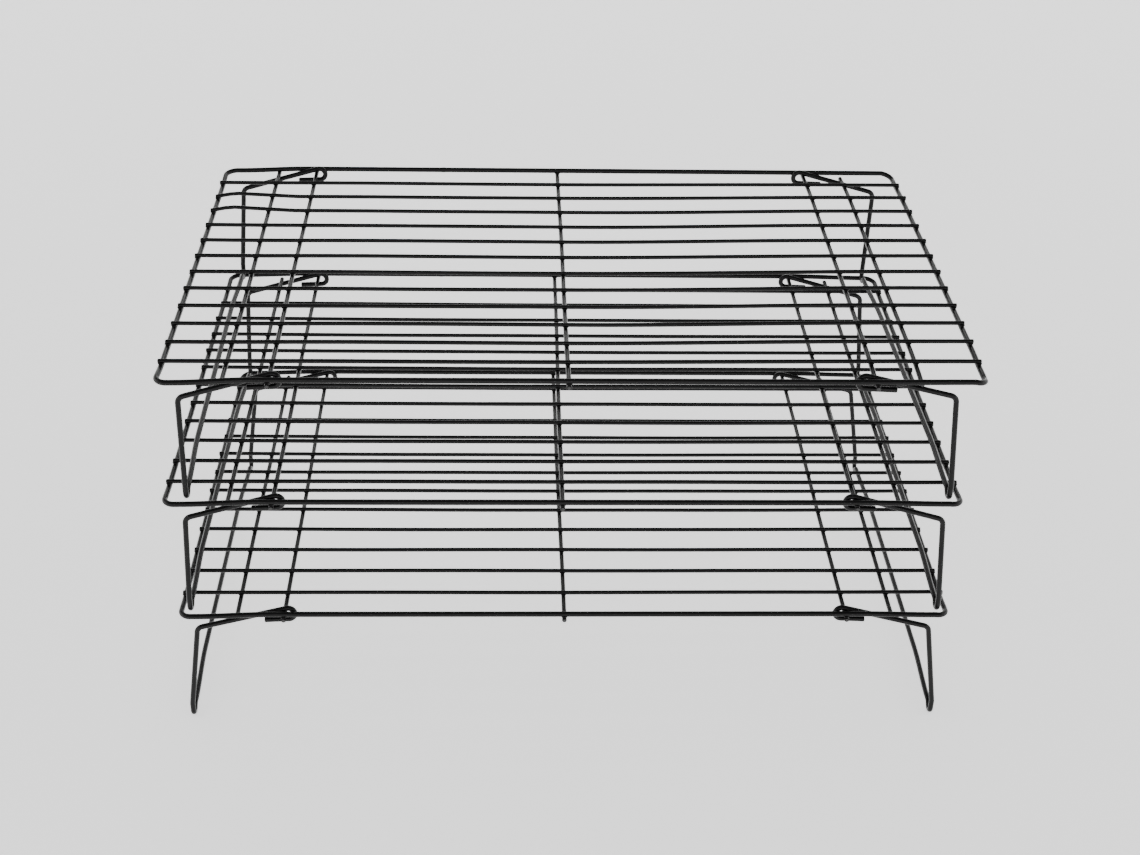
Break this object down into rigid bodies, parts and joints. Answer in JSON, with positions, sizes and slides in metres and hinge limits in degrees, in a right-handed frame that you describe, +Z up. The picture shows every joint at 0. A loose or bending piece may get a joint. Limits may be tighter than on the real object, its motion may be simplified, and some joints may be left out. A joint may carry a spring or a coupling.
{
  "type": "cooling rack",
  "caption": "Stack of rectangular wire cooling racks in black coated steel, each with parallel wires across a bent frame and folding wire legs that nest on the rack below.",
  "frame": {"origin": "under the middle of the stack, on the surface that it stands on", "axes": "+X along the long wires, to the right when the stack is seen from the front; +Y to the rear; +Z up"},
  "size_m": [0.4036, 0.2566, 0.2115],
  "materials": {
    "black_coating": "smooth glossy black non-stick coating on steel wire"
  },
  "bodies": {
    "bottom_rack": {"bottom_frame": "black_coating", "bottom_long_wire_01": "black_coating", "bottom_long_wire_02": "black_coating", "bottom_long_wire_03": "black_coating", "bottom_long_wire_04": "black_coating", "bottom_long_wire_05": "black_coating", "bottom_long_wire_06": "black_coating", "bottom_long_wire_07": "black_coating", "bottom_long_wire_08": "black_coating", "bottom_long_wire_09": "black_coating", "bottom_long_wire_10": "black_coating", "bottom_long_wire_11": "black_coating", "bottom_long_wire_12": "black_coating", "bottom_centre_cross_wire": "black_coating", "bottom_left_inner_cross_wire": "black_coating", "bottom_left_outer_cross_wire": "black_coating", "bottom_right_inner_cross_wire": "black_coating", "bottom_right_outer_cross_wire": "black_coating"},
    "bottom_left_leg": {"bottom_left_leg": "black_coating"},
    "bottom_right_leg": {"bottom_right_leg": "black_coating"},
    "middle_rack": {"middle_frame": "black_coating", "middle_long_wire_01": "black_coating", "middle_long_wire_02": "black_coating", "middle_long_wire_03": "black_coating", "middle_long_wire_04": "black_coating", "middle_long_wire_05": "black_coating", "middle_long_wire_06": "black_coating", "middle_long_wire_07": "black_coating", "middle_long_wire_08": "black_coating", "middle_long_wire_09": "black_coating", "middle_long_wire_10": "black_coating", "middle_long_wire_11": "black_coating", "middle_long_wire_12": "black_coating", "middle_centre_cross_wire": "black_coating", "middle_left_inner_cross_wire": "black_coating", "middle_left_outer_cross_wire": "black_coating", "middle_right_inner_cross_wire": "black_coating", "middle_right_outer_cross_wire": "black_coating"},
    "middle_left_leg": {"middle_left_leg": "black_coating"},
    "middle_right_leg": {"middle_right_leg": "black_coating"},
    "top_rack": {"top_frame": "black_coating", "top_long_wire_01": "black_coating", "top_long_wire_02": "black_coating", "top_long_wire_03": "black_coating", "top_long_wire_04": "black_coating", "top_long_wire_05": "black_coating", "top_long_wire_06": "black_coating", "top_long_wire_07": "black_coating", "top_long_wire_08": "black_coating", "top_long_wire_09": "black_coating", "top_long_wire_10": "black_coating", "top_long_wire_11": "black_coating", "top_long_wire_12": "black_coating", "top_centre_cross_wire": "black_coating", "top_left_inner_cross_wire": "black_coating", "top_left_outer_cross_wire": "black_coating", "top_right_inner_cross_wire": "black_coating", "top_right_outer_cross_wire": "black_coating"},
    "top_left_leg": {"top_left_leg": "black_coating"},
    "top_right_leg": {"top_right_leg": "black_coating"}
  },
  "joints": [
    {"name": "bottom_left_leg_fold", "type": "hinge", "parent": "bottom_rack", "child": "bottom_left_leg", "pos_m": [-0.1451, 0, 0.06779], "axis": [0, -1, 0], "range_deg": [0, 123]},
    {"name": "bottom_right_leg_fold", "type": "hinge", "parent": "bottom_rack", "child": "bottom_right_leg", "pos_m": [0.1459, 0, 0.06779], "axis": [0, 1, 0], "range_deg": [0, 123]},
    {"name": "middle_rack_lift", "type": "slide", "parent": "bottom_rack", "child": "middle_rack", "axis": [0, 0, 1], "range_m": [0, 0.14]},
    {"name": "middle_left_leg_fold", "type": "hinge", "parent": "middle_rack", "child": "middle_left_leg", "pos_m": [-0.1469, 0, 0.13714], "axis": [0, -1, 0], "range_deg": [0, 123]},
    {"name": "middle_right_leg_fold", "type": "hinge", "parent": "middle_rack", "child": "middle_right_leg", "pos_m": [0.1441, 0, 0.13714], "axis": [0, 1, 0], "range_deg": [0, 123]},
    {"name": "top_rack_lift", "type": "slide", "parent": "middle_rack", "child": "top_rack", "axis": [0, 0, 1], "range_m": [0, 0.14]},
    {"name": "top_left_leg_fold", "type": "hinge", "parent": "top_rack", "child": "top_left_leg", "pos_m": [-0.1442, 0, 0.20649], "axis": [0, -1, 0], "range_deg": [0, 123]},
    {"name": "top_right_leg_fold", "type": "hinge", "parent": "top_rack", "child": "top_right_leg", "pos_m": [0.1468, 0, 0.20649], "axis": [0, 1, 0], "range_deg": [0, 123]}
  ],
  "couplings": [
    {"joint": "middle_left_leg_fold", "follows": "middle_rack_lift", "rad_per_m": 15.333},
    {"joint": "middle_right_leg_fold", "follows": "middle_rack_lift", "rad_per_m": 15.333},
    {"joint": "top_left_leg_fold", "follows": "top_rack_lift", "rad_per_m": 15.333},
    {"joint": "top_right_leg_fold", "follows": "top_rack_lift", "rad_per_m": 15.333}
  ]
}
